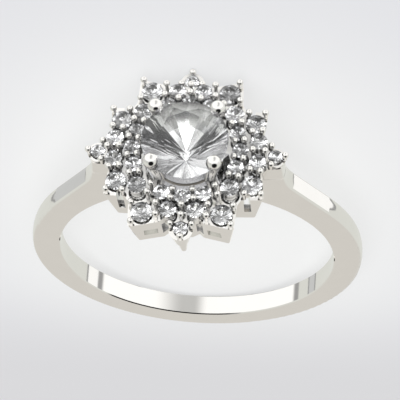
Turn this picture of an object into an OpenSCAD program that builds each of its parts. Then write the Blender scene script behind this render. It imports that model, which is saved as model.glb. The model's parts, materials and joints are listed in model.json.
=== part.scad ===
// Cluster ring: a round centre stone on four prongs, a double halo of small stones with a
// pierced, star-outlined gallery under it, and a plain narrow shank with a flat dome.
// The parts are drawn with the finger axis along Y and the head upwards, and then laid on their
// side as the ring rests by itself: on the lower tip of the halo and the far side of the shank.

/* [Shank] */
// Inner radius of the finger hole
bore_r = 8.6; // [8.4:0.05:9]
// Thickness from the finger hole to the crest
shank_t = 1.76; // [1.6:0.02:2]
// Width along the finger, at the finger hole
shank_w = 1.34; // [1.3:0.02:1.6]
// Width across the rounded corners below the crest
crest_w = 1.24; // [1.1:0.02:1.3]
// Radius of the two rounded corners
corner_r = 0.2; // [0.15:0.01:0.25]
// Drop of the corners' centres below the crest
corner_drop = 0.26; // [0.25:0.01:0.3]
// Bevel along both edges of the finger hole
edge_bevel = 0.06; // [0.04:0.01:0.1]

/* [Shoulders] */
// Angle above the middle of the finger hole at which the shoulders leave the round of the shank
shoulder_start = 37; // [35:0.5:40]
// Radius of the hollow between a shoulder and its post
shoulder_hollow = 2.5; // [1.5:0.1:3]
// Half the distance between the outer faces of the two shoulder posts, at their foot
post_x = 5.95; // [5.8:0.05:6.1]
// Inward lean of each shoulder post in degrees
post_lean = 5; // [3:0.5:7]
// Height of the top of the shoulder posts above the finger hole
post_rise = 2.9; // [2.7:0.05:2.95]

/* [Halo stones] */
// Height of the inner halo girdles above the finger hole
halo_rise = 3.83; // [3.65:0.02:4.05]
// Gap between a stone and its seat
seat_gap = 0.03; // [0.02:0.01:0.05]
// Height of a prong bead's centre above the girdle that it holds
bead_rise = 0.2; // [0.18:0.01:0.24]
// Radius of the small prong beads
bead_r = 0.2; // [0.18:0.01:0.22]
// Radius of the small prong wires
wire_r = 0.1; // [0.08:0.01:0.12]

/* [Centre stone] */
// Diameter of the centre stone
centre_d = 5; // [4.8:0.05:5.1]
// Height of the centre girdle above the inner halo girdles
centre_rise = 1.02; // [0.9:0.02:1.2]
// Radius of the centre prong beads
claw_bead_r = 0.45; // [0.4:0.01:0.48]
// Radius of the centre prong wires
claw_wire_r = 0.36; // [0.3:0.01:0.38]

/* [Gallery] */
// Height of the gallery's lower edge above the finger hole
skirt_foot = 0.5; // [0.4:0.05:0.6]
// Height of the gallery's upper edge above the finger hole
skirt_top = 3.25; // [3.15:0.05:3.3]
// Wall thickness of the gallery
skirt_wall = 0.42; // [0.35:0.01:0.5]
// Share of the gallery's width that it loses for each millimetre downwards
skirt_taper = 0.042; // [0.03:0.002:0.05]
// Rounding of the gallery's upright edges
skirt_round = 0.14; // [0.08:0.02:0.2]
// Thickness of the plate that the stones are seated in
plate_t = 0.6; // [0.5:0.05:0.7]

/* [Hidden] */
$fn = 48;

// Halo stones in one quarter: group, place across the finger, place along it, drop below the
// inner girdles, diameter
STONES = [
    ["inner", 3.12, 0,    0,    0.95],
    ["inner", 2.92, 1.11, 0,    0.95],
    ["inner", 1.2,  2.86, 0,    0.95],
    ["inner", 0,    3.06, 0,    0.95],
    ["bay",   2.65, 2.4,  0.06, 1.1],
    ["mid",   4.14, 0.68, 0.12, 1.0],
    ["mid",   0.77, 3.88, 0.12, 1.0],
    ["point", 3.9,  2.0,  0.4,  1.2],
    ["point", 2.27, 3.97, 0.4,  1.26],
    ["tip",   5.13, 0,    0.6,  0.84],
    ["tip",   0,    4.85, 0.6,  0.84],
];
GROUPS = ["inner", "bay", "mid", "point", "tip"];

// Pairs of neighbouring stones, by their rows above, that share two prongs, with the distances
// of these prongs from the line that joins the stones, on its inner and its outer side
SHARED = [
    [0, 1, 0.25, 0.3],
    [1, 4, 0.25, 0.32],
    [4, 2, 0.25, 0.34],
    [2, 3, 0.25, 0.32],
    [5, 7, 0.3,  0.3],
    [6, 8, 0.36, 0.36],
];

// Prongs of a single stone in one quarter: row of the stone, place across and along the finger
SINGLE = [
    [7, 4.42, 2.66],
    [7, 3.47, 2.66],
    [8, 2.82, 4.66],
    [8, 2.9,  3.45],
    [0, 3.83, 0],
    [5, 4.53, 0],
    [3, 0,    3.69],
    [6, 0,    4.27],
    [9, 4.88, 0.61],
    [9, 5.68, 0],
    [10, 0.61, 4.6],
    [10, 0,    5.4],
];

// Outline of the gallery's upper edge in one quarter, from the shoulder to the lower tip
OUTLINE = [
    [4.85, 0.6], [4.42, 1.2], [4.58, 2.88], [3.32, 2.92], [3.1, 3.3],
    [3.02, 4.88], [1.3, 4.5], [1.0, 4.24], [0.55, 4.5],
];

// Windows in the gallery: two corners of the outline, by their places in it, that they lie
// between, the shares of that stretch where they start and end, and their lower and upper edge
// above the finger hole
WINDOWS = [
    [6, 5, 0.13, 0.62, 1.25, 2.1],
    [3, 2, 0.2, 0.52, 1.4, 3.3],
    [8, 6, 0.39, 0.92, 1.15, 2.55],
];

// Proportions of a round brilliant, as shares of its diameter
CROWN = 0.15;
PAVILION = 0.43;
TABLE = 0.56;
GIRDLE = 0.025;
STAR_REACH = 0.38;
LOWER_REACH = 0.115;
FACET_TURN = 22.5;

girdle_z = bore_r + halo_rise;
centre_z = girdle_z + centre_rise;
top_z = bore_r + skirt_top;
foot_z = bore_r + skirt_foot;

// The section of the shank, from the finger hole outwards: a slightly narrowing flank, a round
// corner on each side, and a flat dome that runs into both corners
crest_rad = bore_r + shank_t;
corner_x = shank_t - corner_drop;
corner_y = crest_w / 2 - corner_r;
dome_sag = corner_drop - corner_r;
dome_x = corner_x - (corner_y * corner_y / dome_sag - dome_sag) / 2;
dome_r = shank_t - dome_x;
brow_turn = atan(corner_y / (corner_x - dome_x));
flank_gap = shank_w / 2 - corner_y;
flank_turn = atan(flank_gap / corner_x) - asin(corner_r / norm([corner_x, flank_gap]));

// How far the shoulders stand out from the round of the shank, and the shank's rim below them
ledge = 0.01;
shoulder_rim = 0.2;

// The tip cups below the four outermost stones, and the hanging points of those along the finger
cup_r = 0.69;
side_cup_r = 0.61;
cup_drop = 0.16;
cup_waist_r = 0.41;
cup_h = 1.2;
spike_r = 0.17;
spike_top_r = 0.43;
spike_z = bore_r + 0.25;
spike_y = 4.6;
tip_y = STONES[10][2];

// The basket below the centre stone
basket_r = 1.5;
basket_w = 0.5;
basket_h = 0.5;
basket_rise = 2.8;
well_r = 2.15;
claw_r = 2.52;
claw_rise = 0.61;
claw_foot_r = 1.9;
strut_bite = 0.3;

// How far the windows reach inwards from the gallery's outline
window_depth = 0.48;

// How far cutters reach past what they cut, how far the shoulders run into the shank and into
// each other, and how far below the finger hole's height the foot of a shoulder post is measured
past = 1;
bite = 0.8;
overlap = 0.3;
sunk = 1.5;

// How far a seat is cut: the hole through the plate, and the height of a seat's collar
through_share = 0.24;
collar_drop = 0.14;
collar_share = 0.38;

// How the ring lies on its side: on the rim of one tip cup and on the rounded corner of the
// shank across from the head
rim = [tip_y + cup_r, girdle_z - STONES[10][3] - cup_drop];
reach = rim - [corner_y, -bore_r - corner_x];
rest_tilt = acos(corner_r / norm(reach)) - atan2(reach[1], reach[0]);
rest_z = rim[0] * cos(rest_tilt) - rim[1] * sin(rest_tilt);
claw_side = claw_r * cos(45);
near_y = -(centre_z + claw_rise) * cos(rest_tilt) - claw_side * sin(rest_tilt) - claw_bead_r;
far_y = (bore_r + dome_x) * cos(rest_tilt) + dome_r;
rest_y = -(near_y + far_y) / 2;

function stone_name(group, k) = str(group, "_stone_", k);

function mirrored(x, y) =
    [for (sx = x == 0 ? [1] : [1, -1]) for (sy = y == 0 ? [1] : [1, -1]) [sx * x, sy * y]];

// Places of the stones of one group: across, along, girdle height, diameter
function spots(group) =
    [for (s = STONES) if (s[0] == group) for (m = mirrored(s[1], s[2]))
        [m[0], m[1], girdle_z - s[3], s[4]]];

function polar(r, a, z) = [r * cos(a), r * sin(a), z];

// The two prongs between neighbouring stones stand on both sides of the middle of their gap
function shared_prongs(s) =
    let (a = STONES[s[0]], b = STONES[s[1]],
        pa = [a[1], a[2]], pb = [b[1], b[2]],
        along = (pb - pa) / norm(pb - pa),
        middle = (pa + pb + along * (a[4] - b[4]) / 2) / 2,
        turned = [along[1], -along[0]],
        out = turned * middle > 0 ? turned : -turned,
        z = girdle_z - min(a[3], b[3]))
    [[middle - out * s[2], z], [middle + out * s[3], z]];

function all_prongs() = concat(
    [for (s = SHARED) for (p = shared_prongs(s)) for (m = mirrored(p[0][0], p[0][1]))
        [m[0], m[1], p[1]]],
    [for (s = SINGLE) for (m = mirrored(s[1], s[2]))
        [m[0], m[1], girdle_z - STONES[s[0]][3]]]);

// The whole outline: each quarter is mirrored and read backwards in turn
function backwards(l) = [for (i = [len(l) - 1:-1:0]) l[i]];
function flipped(l, sx, sy) = [for (p = l) [p[0] * sx, p[1] * sy]];
function whole_outline() = concat(OUTLINE, backwards(flipped(OUTLINE, -1, 1)),
    flipped(OUTLINE, -1, -1), backwards(flipped(OUTLINE, 1, -1)));

// Lays what stands with the head up on its side, at rest on the floor
module laid() {
    translate([0, rest_y, rest_z])
        rotate([90 - rest_tilt, 0, 0])
            children();
}

module mirror_x() {
    children();
    mirror([1, 0, 0]) children();
}

module mirror_y() {
    children();
    mirror([0, 1, 0]) children();
}

// Section of the shank, centred on the X axis, with the finger side at the left. That side can be
// carried on by foot or have its two edges bevelled, and the other sides can stand out by grow
module band_section(foot = 0, bevel = 0, grow = 0) {
    round_r = corner_r + grow;
    edge = shank_w / 2 + grow / cos(flank_turn);
    foot_edge = edge + foot * tan(flank_turn) - bevel;
    flank = [corner_x + round_r * sin(flank_turn), corner_y + round_r * cos(flank_turn)];
    brow = [corner_x + round_r * cos(brow_turn), corner_y + round_r * sin(brow_turn)];
    polygon([
        [-foot, -foot_edge], [bevel, -edge], [flank[0], -flank[1]], [brow[0], -brow[1]],
        [brow[0], brow[1]], [flank[0], flank[1]], [bevel, edge], [-foot, foot_edge]
    ]);
    for (side = [1, -1]) translate([corner_x, side * corner_y]) circle(round_r);
    intersection() {
        translate([dome_x, 0]) circle(dome_r + grow);
        translate([brow[0], -brow[1]]) square([shank_t, 2 * brow[1]]);
    }
}

module shank() {
    rotate([90, 0, 0])
        rotate_extrude()
            translate([bore_r, 0]) band_section(bevel = edge_bevel);
}

// Straight run of the shank's section, with its crest starting at a point and leaning inwards
module straight_band(start, lean, length) {
    translate([start[0], 0, start[1]])
        rotate([0, -lean, 0])
            linear_extrude(length)
                translate([-shank_t, 0]) band_section(foot = bite, grow = ledge);
}

// Shoulder that leaves the round of the shank straight on and turns up, in a hollow, into the
// post that carries the halo
module shoulder() {
    post_foot = [post_x, bore_r - sunk];
    out_a = crest_rad + shoulder_hollow;
    out_b = post_foot * [cos(post_lean), sin(post_lean)] + shoulder_hollow;
    turn = sin(shoulder_start - post_lean);
    hollow = [
        out_b * sin(shoulder_start) - out_a * sin(post_lean),
        out_a * cos(post_lean) - out_b * cos(shoulder_start)
    ] / turn;
    post_start = hollow - shoulder_hollow * [cos(post_lean), sin(post_lean)]
        + overlap * [sin(post_lean), -cos(post_lean)];
    straight_band(crest_rad * [cos(shoulder_start), sin(shoulder_start)], shoulder_start,
        hollow * [-sin(shoulder_start), cos(shoulder_start)] + overlap);
    translate([hollow[0], 0, hollow[1]])
        rotate([90, 0, 0])
            rotate([0, 0, 180 + post_lean])
                rotate_extrude(angle = shoulder_start - post_lean)
                    translate([shoulder_hollow + shank_t, 0])
                        rotate(180) band_section(foot = bite + overlap, grow = 2 * ledge);
    straight_band(post_start, post_lean, (bore_r + post_rise - post_start[1]) / cos(post_lean));
}

// Both shoulders, cut away round the finger hole as far as the round of the shank fills it
module shoulders() {
    difference() {
        for (turn = [0, 180]) rotate([0, 0, turn]) shoulder();
        rotate([90, 0, 0]) cylinder(r = bore_r + shoulder_rim, h = shank_w + past, center = true);
    }
}

module tip_cup_shoulder() {
    x = STONES[9][1];
    z = girdle_z - STONES[9][3] - cup_drop;
    translate([x, 0, z - cup_h]) cylinder(r1 = cup_waist_r, r2 = side_cup_r, h = cup_h);
}

module tip_cup_front() {
    z = girdle_z - STONES[10][3] - cup_drop;
    lean = atan((tip_y - spike_y) / (z - spike_z));
    translate([0, tip_y, z - cup_h]) cylinder(r1 = cup_waist_r, r2 = cup_r, h = cup_h);
    translate([0, spike_y, spike_z])
        rotate([-lean, 0, 0])
            cylinder(r1 = spike_r, r2 = spike_top_r, h = z - cup_h / 2 - spike_z);
}

module rounded_outline() {
    offset(r = skirt_round, $fn = 16)
        offset(delta = -skirt_round)
            polygon(whole_outline());
}

module downwards(depth) {
    translate([0, 0, top_z])
        mirror([0, 0, 1])
            linear_extrude(depth, scale = 1 - skirt_taper * depth)
                children();
}

// Window between two corners of the outline, cut square through the wall and the plate's edge
module window(w) {
    from = OUTLINE[w[0]];
    stretch = OUTLINE[w[1]] - from;
    start = from + stretch * w[2];
    end = from + stretch * w[3];
    middle = (start + end) / 2;
    z = bore_r + (w[4] + w[5]) / 2;
    shrink = 1 - skirt_taper * (top_z - z);
    turn = atan2(stretch[1], stretch[0]);
    translate([middle[0] * shrink, middle[1] * shrink, z])
        rotate([0, 0, turn])
            cube([norm(end - start) * shrink, 2 * window_depth, w[5] - w[4]], center = true);
}

module gallery() {
    downwards(top_z - foot_z)
        difference() {
            rounded_outline();
            offset(delta = -skirt_wall) polygon(whole_outline());
        }
}

// Plate below the halo, open under the centre stone, with a collar round each raised seat
module seat_plate() {
    difference() {
        translate([0, 0, top_z - plate_t])
            linear_extrude(plate_t)
                offset(delta = -skirt_wall / 2) polygon(whole_outline());
        cylinder(r = well_r, h = top_z + past);
    }
    for (g = ["inner", "bay", "mid"]) for (s = spots(g))
        translate([s[0], s[1], top_z - plate_t / 2])
            cylinder(r = s[3] * collar_share, h = s[2] - collar_drop - top_z + plate_t / 2);
}

// Room for one halo stone: its own outline, its cone below, and the hole through the plate
module seat_room(s) {
    r = s[3] / 2 + seat_gap;
    depth = s[3] * PAVILION;
    hole = s[3] * through_share;
    lip = s[3] * GIRDLE + seat_gap;
    translate([s[0], s[1], s[2]])
        rotate_extrude()
            polygon([
                [0, -2 * plate_t - depth], [hole, -2 * plate_t - depth],
                [hole, -lip - depth * (1 - hole / r)], [r, -lip], [r, depth], [0, depth]
            ]);
}

module small_prong(p) {
    foot = top_z - plate_t / 2;
    top = p[2] + bead_rise;
    translate([p[0], p[1], foot])
        rotate_extrude()
            union() {
                square([wire_r, top - foot]);
                intersection() {
                    translate([0, top - foot]) circle(bead_r);
                    translate([0, top - foot - bead_r]) square(2 * bead_r);
                }
            }
}

// Room for the centre stone: two cones with its girdle between them
module centre_room() {
    r = centre_d / 2 + seat_gap;
    lip = centre_d * GIRDLE / 2 + seat_gap;
    translate([0, 0, centre_z])
        rotate_extrude()
            polygon([
                [0, -lip - centre_d * PAVILION], [r, -lip], [r, lip],
                [centre_d * TABLE / 2, lip + centre_d * CROWN], [0, lip + centre_d * CROWN]
            ]);
}

// Rail round the pavilion of the centre stone and the four prongs that it carries
module basket() {
    z = bore_r + basket_rise;
    bead_z = centre_z + claw_rise;
    lean = atan((claw_r - claw_foot_r) / (bead_z - z));
    translate([0, 0, z])
        rotate_extrude()
            translate([basket_r, 0]) square([basket_w, basket_h]);
    for (a = [45:90:315])
        rotate([0, 0, a]) {
            translate([claw_foot_r, 0, z])
                rotate([0, lean, 0])
                    cylinder(r = claw_wire_r, h = (bead_z - z) / cos(lean));
            translate([claw_r, 0, bead_z]) sphere(claw_bead_r);
            translate([claw_foot_r, 0, z])
                rotate([0, 90, 0]) cylinder(r = basket_h / 2, h = well_r - claw_foot_r + strut_bite);
        }
}

module ring_mount() {
    color([0.86, 0.85, 0.82]) laid() {
        shank();
        difference() {
            union() {
                shoulders();
                mirror_x() tip_cup_shoulder();
                mirror_y() tip_cup_front();
                gallery();
                seat_plate();
            }
            for (g = GROUPS) for (s = spots(g)) seat_room(s);
            mirror_x() mirror_y() for (w = WINDOWS) window(w);
        }
        for (p = all_prongs()) small_prong(p);
        difference() {
            basket();
            centre_room();
        }
    }
}

// Round brilliant with its girdle's middle at the origin: table, 8 stars, 8 kites, 16 upper
// halves, girdle, 16 lower halves and 8 mains, with extra girdle points on a large stone
module brilliant(d, fine = 1) {
    r = d / 2;
    rim = d * GIRDLE / 2;
    rt = r * TABLE;
    rs = d * STAR_REACH;
    rl = d * LOWER_REACH;
    hc = d * CROWN;
    hp = d * PAVILION;
    zs = rim + hc * (r - rs * cos(FACET_TURN)) / (r - rt);
    zl = -rim - hp * (1 - rl * cos(FACET_TURN) / r);
    n = 16 * fine;
    step = 360 / n;
    half = FACET_TURN / 2;
    sag_up = (zs - rim) * r * (1 - cos(half)) / ((r - rs) * cos(half));
    sag_low = (-rim - zl) * r * (1 - cos(half)) / ((r - rl) * cos(half));
    between = [for (j = [0:n - 1]) j % fine == 0 ? 0 : 1];
    table = [for (k = [0:7]) polar(rt, 45 * k, rim + hc)];
    stars = [for (k = [0:7]) polar(rs, 45 * k + FACET_TURN, zs)];
    upper = [for (j = [0:n - 1]) polar(r, j * step, rim - sag_up * between[j])];
    lower = [for (j = [0:n - 1]) polar(r, j * step, sag_low * between[j] - rim)];
    mains = [for (k = [0:7]) polar(rl, 45 * k + FACET_TURN, zl)];
    s0 = 8;
    u0 = 16;
    l0 = u0 + n;
    m0 = l0 + n;
    culet = m0 + 8;
    polyhedron(
        points = concat(table, stars, upper, lower, mains, [[0, 0, -rim - hp]]),
        faces = concat(
            [[for (k = [7:-1:0]) k]],
            [for (k = [0:7]) [k, (k + 1) % 8, s0 + k]],
            [for (k = [0:7]) [k, s0 + k, u0 + 2 * k * fine, s0 + (k + 7) % 8]],
            [for (j = [0:n - 1]) [s0 + floor(j / (2 * fine)), u0 + (j + 1) % n, u0 + j]],
            [for (j = [0:n - 1]) [u0 + j, u0 + (j + 1) % n, l0 + (j + 1) % n, l0 + j]],
            [for (j = [0:n - 1]) [m0 + floor(j / (2 * fine)), l0 + j, l0 + (j + 1) % n]],
            [for (k = [0:7]) [m0 + (k + 7) % 8, l0 + 2 * k * fine, m0 + k, culet]]));
}

module centre_stone() {
    color([0.93, 0.95, 0.97]) laid()
        translate([0, 0, centre_z]) brilliant(centre_d, fine = 2);
}

module halo_stone(s) {
    color([0.88, 0.9, 0.93]) laid()
        translate([s[0], s[1], s[2]]) brilliant(s[3]);
}

ring_mount();
centre_stone();
for (g = GROUPS) for (k = [1:len(spots(g))])
    halo_stone(spots(g)[k - 1]);
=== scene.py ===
"""Looks of the cluster ring: polished white gold and clear cut stones, on a pale floor in soft light."""

import json
import math

import bpy
from mathutils import Matrix, Vector


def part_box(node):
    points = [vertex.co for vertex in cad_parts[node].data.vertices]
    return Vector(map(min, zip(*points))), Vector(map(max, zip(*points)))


MM = 0.001

# The camera's angles in degrees, as the standing ring sees it:
# turned from the finger's line, raised towards the head, and rolled
CAMERA_TURN = 9.3
CAMERA_RISE = 61.58
CAMERA_ROLL = -6.17
CAMERA_DISTANCE = 122 * MM
# Where it aims: to its own right of the middle of the finger hole, and above that
AIM_RIGHT = 0.17 * MM
AIM_UP = 2.937 * MM
LENS = 174.645
SENSOR = 36

# How far the studio's upright leans from the head's axis towards the far side, in degrees
STUDIO_LEAN = 31

# Colours of the light that comes from each part of the studio
TABLE_NEAR = (0.67, 0.65, 0.61, 1)
TABLE_FAR = (0.73, 0.74, 0.70, 1)
WHITE_CARD = (1.12, 1.12, 1.11, 1)
WHITE_STRIP = (1.05, 1.05, 1.04, 1)
GREY_STRIP = (0.60, 0.61, 0.61, 1)
STRIP_EDGE = (0.33, 0.33, 0.33, 1)
DARK_GAP = (0.36, 0.36, 0.36, 1)
GREY_GAP = (0.58, 0.58, 0.57, 1)
LENS_HOOD = (0.01, 0.01, 0.01, 1)

# Sines of the heights above the studio's horizon between which its parts change
TABLE_FADE = (-0.9, -0.5)
GAP_BELOW = (0.12, 0.15)
GAP_ABOVE = (0.19, 0.24)
ROOF = (0.75, 0.9)

# Bands across the table on each side: the sine of the height at which each begins, and its colour
LEFT_BANDS = ((-0.175, STRIP_EDGE), (-0.155, GREY_STRIP), (-0.055, STRIP_EDGE), (-0.035, None))
RIGHT_BANDS = ((-0.06, STRIP_EDGE), (-0.035, WHITE_STRIP))
# How far above that sine a band has its full colour
BAND_FADE = 0.01

# Sines to the right between which the left side changes to the right one
SIDE_FADE = (-0.1, 0.1)
# The same for the roof, which turns from white to grey and back to white
ROOF_TO_GREY = (-0.13, 0.07)
ROOF_TO_WHITE = (0.2, 0.6)

# The lens hood that the prong beads mirror: the direction of its middle in the row frame,
# and the cosines of the angles from there between which it darkens
HOOD_PLACE = (-0.221, 0.002, 0.975)
HOOD_SPREAD = (0.80, 0.85)

# The metal's two colours and the noise that mixes them
METAL_COLOURS = ((0.90, 0.885, 0.86, 1), (0.94, 0.925, 0.90, 1))
METAL_NOISE = {"Scale": 700, "Detail": 2}
# Its least and most roughness and the noise between them
METAL_ROUGHNESS = (0.03, 0.08)
POLISH_NOISE = {"Scale": 4000, "Detail": 3}
# Painted shade in recesses: how near a neighbour shades it, the shares of open sky between which it
# brightens, and its colour
RECESS = 1.5 * MM
RECESS_FADE = (0.1, 0.6)
PAINTED_RECESS_SHADE = (0.3, 0.3, 0.3, 1)
RECESS_SAMPLES = 8

# The colour of clear stone, and how much brighter the studio is for light that comes through it
CLEAR = (0.96, 0.965, 0.97, 1)
STONE_LIGHT = 1.35
# Refraction of each kind of stone, and the roughness of its mirrors
CENTRE_REFRACTION = 1.3
CENTRE_HAZE = 0.22
HALO_REFRACTION = 1.8
HALO_HAZE = 0.05
# How much of a facet's outward normal points towards the finger where it becomes a mirror
PAVILION = (0.2, 0.3)
# Blue of the lighter of two greys, as a multiple of its red and green
COOLNESS = 1.01

# Small stones: how far apart the facets' directions and the stones lie in the noise,
# between which of its values the grey changes, and the darkest and the lightest grey
SMALL_SPREAD = (3.0, 3.0, 3.0)
SMALL_SHIFT = 50
SMALL_NOISE = {"Scale": 1.0, "Detail": 0}
SMALL_FADE = (0.4, 0.6)
SMALL_GREYS = (0.25, 1.0)

# Centre stone, whose back facets carry painted reflection: cells of its pattern in a radian round its
# middle, and in a metre outwards
RAYS = 3.5
REACH = 300
# Angles from the far side, in radians, between which the fan ends and the near side begins
FAN_END = (0.85, 0.88)
NEAR_START = (1.85, 1.9)
# Distances from its middle between which the fan changes to the rim
FAN_REACH = (1.3 * MM, 1.35 * MM)
FAN_GREYS = (0.9, 1.1)
RIM_GREYS = (0.45, 0.75)
FLANK_GREYS = (0.08, 0.5)
NEAR_GREYS = (0.15, 0.8)
# The streaks on its flanks: their noise, between which of its values they begin, and their grey
STREAK_NOISE = {"Scale": 2.5, "Detail": 1}
STREAK_FADE = (0.6, 0.64)
STREAK = (0.85, 0.85, 0.85, 1)

# The floor: half its side, and its colour in the painted pool of light near the ring, away from it, and in
# the painted shadow behind the shank
FLOOR_HALF = 0.4
FLOOR_PAINTED_POOL = (0.905, 0.91, 0.91, 1)
FLOOR_DARK = (0.765, 0.77, 0.8, 1)
FLOOR_PAINTED_SHADOW = (0.705, 0.705, 0.725, 1)
FLOOR_ROUGHNESS = 0.5
# Distances from the middle of the finger hole between which the painted pool of light fades
POOL_FADE = (7 * MM, 24 * MM)
# The same along Y, for the painted shadow behind the shank
PAINTED_SHADOW_FADE = (8 * MM, 21 * MM)
# How much of its brightness is painted glow, which doesn't depend on the light that falls on it and softens
# its shadows
FLOOR_GLOW = 0.7

LAMP_PLACE = (0.0, -0.15, 0.3)
LAMP_SIZE = 0.3
LAMP_POWER = 0.7

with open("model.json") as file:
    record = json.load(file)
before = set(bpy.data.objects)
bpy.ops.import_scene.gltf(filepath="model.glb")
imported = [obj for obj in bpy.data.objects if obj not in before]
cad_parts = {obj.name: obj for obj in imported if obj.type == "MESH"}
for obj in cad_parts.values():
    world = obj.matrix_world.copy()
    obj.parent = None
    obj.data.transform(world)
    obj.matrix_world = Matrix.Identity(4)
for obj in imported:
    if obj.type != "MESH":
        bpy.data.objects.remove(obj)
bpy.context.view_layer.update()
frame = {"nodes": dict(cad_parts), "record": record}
mount = frame["record"]["mounts"][0]
hole_centre = Vector(mount["pos_m"])
finger_axis = Vector(mount["axis"])
head_axis = finger_axis.cross(Vector((-1, 0, 0)))


def ring_direction(across, along, up):
    """A direction in the row frame from the standing ring's own: to its right, along the finger, up."""
    return -across * Vector((1, 0, 0)) - along * finger_axis + up * head_axis


def node(tree, kind, inputs=None, **settings):
    """Adds a node with its settings; an input is a value, or a socket to link."""
    made = tree.nodes.new(kind)
    for name, value in settings.items():
        setattr(made, name, value)
    for key, value in (inputs or {}).items():
        if isinstance(value, bpy.types.NodeSocket):
            tree.links.new(value, made.inputs[key])
        else:
            made.inputs[key].default_value = value
    return made


def maths(tree, operation, *values):
    """A number worked out from one or two others."""
    return node(tree, "ShaderNodeMath", dict(enumerate(values)), operation=operation).outputs[0]


def between(tree, factor, first, second):
    """A number between two others, by a factor from 0 to 1."""
    return node(tree, "ShaderNodeMapRange", {0: factor, 3: first, 4: second}).outputs[0]


def mixed(tree, factor, first, second):
    """A colour between two others, by a factor from 0 to 1."""
    return node(tree, "ShaderNodeMix", {0: factor, 6: first, 7: second}, data_type="RGBA").outputs[2]


def smooth_step(tree, value, low, high):
    """0 below low, 1 above high, and smooth between them."""
    inputs = {0: value, 1: low, 2: high}
    return node(tree, "ShaderNodeMapRange", inputs, interpolation_type="SMOOTHSTEP").outputs[0]


def share(tree, vector, axis):
    """How far a vector reaches along an axis."""
    made = node(tree, "ShaderNodeVectorMath", {0: vector, 1: axis}, operation="DOT_PRODUCT")
    return made.outputs["Value"]


def noise(tree, place, settings):
    """Smooth noise from 0 to 1."""
    return node(tree, "ShaderNodeTexNoise", {"Vector": place, **settings}).outputs["Fac"]


def object_place(tree):
    """A point of the surface, in metres in the row frame, because no object is moved or turned."""
    return node(tree, "ShaderNodeTexCoord").outputs["Object"]


def grey(tree, value, dark, light):
    """A grey between two shades, by a value from 0 to 1."""
    return mixed(tree, value, (dark, dark, dark, 1), (light, light, light * COOLNESS, 1))


def matrix_of(right, up, back, place):
    """The matrix of an object at a place, from the directions of its own X, Y and Z."""
    columns = Matrix((right, up, back)).transposed().to_4x4()
    columns.translation = place
    return columns


def make_camera():
    """The camera that was fitted to the photograph."""
    turn, rise, roll = (math.radians(a) for a in (CAMERA_TURN, CAMERA_RISE, CAMERA_ROLL))
    back = ring_direction(math.cos(rise) * math.sin(turn), -math.cos(rise) * math.cos(turn), math.sin(rise))
    level = ring_direction(0, 0, 1).cross(back).normalized()
    right = level * math.cos(roll) + back.cross(level) * math.sin(roll)
    up = back.cross(right)
    place = hole_centre + right * AIM_RIGHT + up * AIM_UP + back * CAMERA_DISTANCE
    data = bpy.data.cameras.new("camera")
    data.lens = LENS
    data.sensor_width = SENSOR
    data.clip_start = MM
    camera = bpy.data.objects.new("camera", data)
    bpy.context.scene.collection.objects.link(camera)
    camera.matrix_world = matrix_of(right, up, back, place)
    bpy.context.scene.camera = camera


def banded(tree, height, base, bands):
    """The base colour with bands laid over it upwards; one without a colour shows the base again."""
    colour = base
    for start, band in bands:
        colour = mixed(tree, smooth_step(tree, height, start, start + BAND_FADE), colour, band or base)
    return colour


def make_studio():
    """Soft light by direction: a table below the studio's horizon, and cards, gaps and a roof above it."""
    world = bpy.data.worlds.new("studio")
    world.use_nodes = True
    tree = world.node_tree
    tree.nodes.clear()
    direction = node(tree, "ShaderNodeTexCoord").outputs["Generated"]
    lean = math.radians(STUDIO_LEAN)
    height = share(tree, direction, ring_direction(0, math.sin(lean), math.cos(lean)))
    side = share(tree, direction, ring_direction(1, 0, 0))
    table = mixed(tree, smooth_step(tree, height, *TABLE_FADE), TABLE_NEAR, TABLE_FAR)
    left = banded(tree, height, table, LEFT_BANDS)
    right = banded(tree, height, table, RIGHT_BANDS)
    low = mixed(tree, smooth_step(tree, side, *SIDE_FADE), left, right)
    low = mixed(tree, smooth_step(tree, height, *GAP_BELOW), low, DARK_GAP)
    walls = mixed(tree, smooth_step(tree, height, *GAP_ABOVE), low, WHITE_CARD)
    roof = mixed(tree, smooth_step(tree, side, *ROOF_TO_GREY), WHITE_CARD, GREY_GAP)
    roof = mixed(tree, smooth_step(tree, side, *ROOF_TO_WHITE), roof, WHITE_CARD)
    studio = mixed(tree, smooth_step(tree, height, *ROOF), walls, roof)
    hood = smooth_step(tree, share(tree, direction, HOOD_PLACE), *HOOD_SPREAD)
    hooded = mixed(tree, hood, studio, LENS_HOOD)
    # Light that comes through a stone is brighter, and has no lens hood in it
    through = node(tree, "ShaderNodeLightPath").outputs["Is Transmission Ray"]
    colour = mixed(tree, through, hooded, studio)
    strength = between(tree, through, 1, STONE_LIGHT)
    shader = node(tree, "ShaderNodeBackground", {"Color": colour, "Strength": strength})
    node(tree, "ShaderNodeOutputWorld", {"Surface": shader.outputs[0]})
    bpy.context.scene.world = world


def surface(name):
    """A new material, and its empty tree."""
    material = bpy.data.materials.new(name)
    material.use_nodes = True
    tree = material.node_tree
    tree.nodes.clear()
    return material, tree


def finish_surface(tree, shader):
    """Links a shader to the material's output."""
    node(tree, "ShaderNodeOutputMaterial", {"Surface": shader.outputs[0]})


def white_gold():
    """Polished metal with painted shade, darker in colour where its neighbours stand close round it."""
    material, tree = surface("white_gold")
    place = object_place(tree)
    recess = node(tree, "ShaderNodeAmbientOcclusion", {"Distance": RECESS}, samples=RECESS_SAMPLES)
    # Painted shade: the colour turns to the recess shade where little open sky reaches
    open_sky = smooth_step(tree, recess.outputs["AO"], *RECESS_FADE)
    bright = mixed(tree, noise(tree, place, METAL_NOISE), *METAL_COLOURS)
    shader = node(tree, "ShaderNodeBsdfPrincipled", {
        "Base Color": mixed(tree, open_sky, PAINTED_RECESS_SHADE, bright),
        "Metallic": 1.0,
        "Roughness": between(tree, noise(tree, place, POLISH_NOISE), *METAL_ROUGHNESS)})
    finish_surface(tree, shader)
    return material


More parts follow.
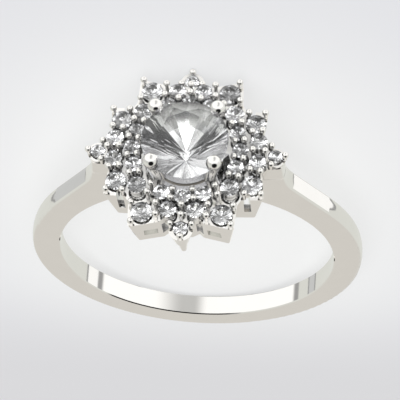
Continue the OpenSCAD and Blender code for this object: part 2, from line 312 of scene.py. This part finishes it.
def outward_normal(tree):
    """The normal of a facet, away from the stone on both of its sides."""
    geometry = node(tree, "ShaderNodeNewGeometry")
    sign = between(tree, geometry.outputs["Backfacing"], 1, -1)
    inputs = {0: geometry.outputs["True Normal"], "Scale": sign}
    return node(tree, "ShaderNodeVectorMath", inputs, operation="SCALE").outputs[0]


def gem(name, refraction, haze, mirror_greys):
    """A clear stone whose back facets, seen from inside it, are mirrors with greys: painted reflection on
    the centre stone, random on small ones.
    """
    material, tree = surface(name)
    inside = node(tree, "ShaderNodeNewGeometry").outputs["Backfacing"]
    pavilion = smooth_step(tree, share(tree, outward_normal(tree), -head_axis), *PAVILION)
    mirror = maths(tree, "MULTIPLY", pavilion, inside)
    shader = node(tree, "ShaderNodeBsdfPrincipled", {
        "Base Color": mixed(tree, mirror, CLEAR, mirror_greys(tree)),
        "Metallic": mirror,
        "Transmission Weight": 1.0,
        "IOR": refraction,
        "Roughness": between(tree, mirror, 0, haze)})
    finish_surface(tree, shader)
    return material


def small_stone_shade(tree):
    """A grey of its own for each facet of each small stone."""
    seed = node(tree, "ShaderNodeObjectInfo").outputs["Random"]
    shift = maths(tree, "MULTIPLY", seed, SMALL_SHIFT)
    inputs = {0: outward_normal(tree), 1: SMALL_SPREAD, 2: shift}
    facet = node(tree, "ShaderNodeVectorMath", inputs, operation="MULTIPLY_ADD").outputs[0]
    return grey(tree, smooth_step(tree, noise(tree, facet, SMALL_NOISE), *SMALL_FADE), *SMALL_GREYS)


def centre_stone_painted_reflection(tree):
    """Painted reflection: a bright fan on the far side, dark streaked wedges on both flanks, mixed greys on
    the near side.
    """
    low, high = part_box("centre_stone")
    inputs = {0: object_place(tree), 1: (Vector(low) + Vector(high)) / 2}
    offset = node(tree, "ShaderNodeVectorMath", inputs, operation="SUBTRACT").outputs[0]
    across = share(tree, offset, ring_direction(1, 0, 0))
    along = share(tree, offset, ring_direction(0, 1, 0))
    flat = node(tree, "ShaderNodeCombineXYZ", {0: across, 1: along}).outputs[0]
    out = node(tree, "ShaderNodeVectorMath", {0: flat}, operation="LENGTH").outputs["Value"]
    turn = maths(tree, "ARCTAN2", across, along)
    swing = maths(tree, "ABSOLUTE", turn)
    inputs = {0: maths(tree, "MULTIPLY", turn, RAYS), 1: maths(tree, "MULTIPLY", out, REACH)}
    rays = node(tree, "ShaderNodeCombineXYZ", inputs).outputs[0]
    cells = node(tree, "ShaderNodeTexVoronoi", {"Vector": rays, "Scale": 1.0}).outputs["Color"]
    cell = share(tree, cells, (1, 0, 0))
    streaks = smooth_step(tree, noise(tree, rays, STREAK_NOISE), *STREAK_FADE)
    flank = mixed(tree, streaks, grey(tree, cell, *FLANK_GREYS), STREAK)
    near = grey(tree, cell, *NEAR_GREYS)
    rim = grey(tree, cell, *RIM_GREYS)
    fan = mixed(tree, smooth_step(tree, out, *FAN_REACH), grey(tree, cell, *FAN_GREYS), rim)
    shade = mixed(tree, smooth_step(tree, swing, *FAN_END), fan, flank)
    return mixed(tree, smooth_step(tree, swing, *NEAR_START), shade, near)


def floor_surface():
    """Pale, with a painted pool of light round the ring, painted shadow behind the shank and painted glow
    softening shadows.
    """
    material, tree = surface("pale_floor")
    place = object_place(tree)
    away = node(tree, "ShaderNodeVectorMath", {0: place, 1: hole_centre}, operation="DISTANCE")
    behind = share(tree, place, (0, 1, 0))
    # Painted pool of light round the ring, then painted shadow behind the shank
    colour = mixed(tree, smooth_step(tree, away.outputs["Value"], *POOL_FADE), FLOOR_PAINTED_POOL, FLOOR_DARK)
    colour = mixed(tree, smooth_step(tree, behind, *PAINTED_SHADOW_FADE), colour, FLOOR_PAINTED_SHADOW)
    lit = node(tree, "ShaderNodeBsdfPrincipled", {"Base Color": colour, "Roughness": FLOOR_ROUGHNESS})
    # Painted glow, which softens the floor's shadows
    glow = node(tree, "ShaderNodeEmission", {"Color": colour})
    shader = node(tree, "ShaderNodeMixShader", {0: FLOOR_GLOW, 1: lit.outputs[0], 2: glow.outputs[0]})
    finish_surface(tree, shader)
    return material


def wear(obj, material):
    """Puts a material on all slots of an object, or on a new one where it has none."""
    for slot in obj.material_slots:
        slot.material = material
    if not obj.material_slots:
        obj.data.materials.append(material)


def make_floor():
    """A square floor that doesn't show in the ring's mirrors."""
    mesh = bpy.data.meshes.new("floor")
    corners = [(-1, -1), (1, -1), (1, 1), (-1, 1)]
    mesh.from_pydata([(x * FLOOR_HALF, y * FLOOR_HALF, 0) for x, y in corners], [], [(0, 1, 2, 3)])
    floor = bpy.data.objects.new("floor", mesh)
    bpy.context.scene.collection.objects.link(floor)
    wear(floor, floor_surface())
    floor.visible_glossy = False


def make_lamp():
    """A large round lamp overhead that gives the ring its soft shadow, and doesn't show in its mirrors."""
    data = bpy.data.lights.new("overhead", "AREA")
    data.shape = "DISK"
    data.size = LAMP_SIZE
    data.energy = LAMP_POWER
    lamp = bpy.data.objects.new("overhead", data)
    bpy.context.scene.collection.objects.link(lamp)
    lamp.location = LAMP_PLACE
    lamp.rotation_euler = (hole_centre - Vector(LAMP_PLACE)).to_track_quat("-Z", "Y").to_euler()
    lamp.visible_glossy = False


def dress_nodes():
    """Gives each piece of the ring the material that its record names."""
    materials = {
        "white_gold": white_gold(),
        "centre_gem": gem("centre_gem", CENTRE_REFRACTION, CENTRE_HAZE, centre_stone_painted_reflection),
        "halo_gem": gem("halo_gem", HALO_REFRACTION, HALO_HAZE, small_stone_shade),
    }
    for part in frame["record"]["subparts"]:
        wear(frame["nodes"][part["node"]], materials[part["material_slot"]])


make_camera()
make_studio()
make_floor()
make_lamp()
dress_nodes()
bpy.context.scene.view_settings.view_transform = "Standard"
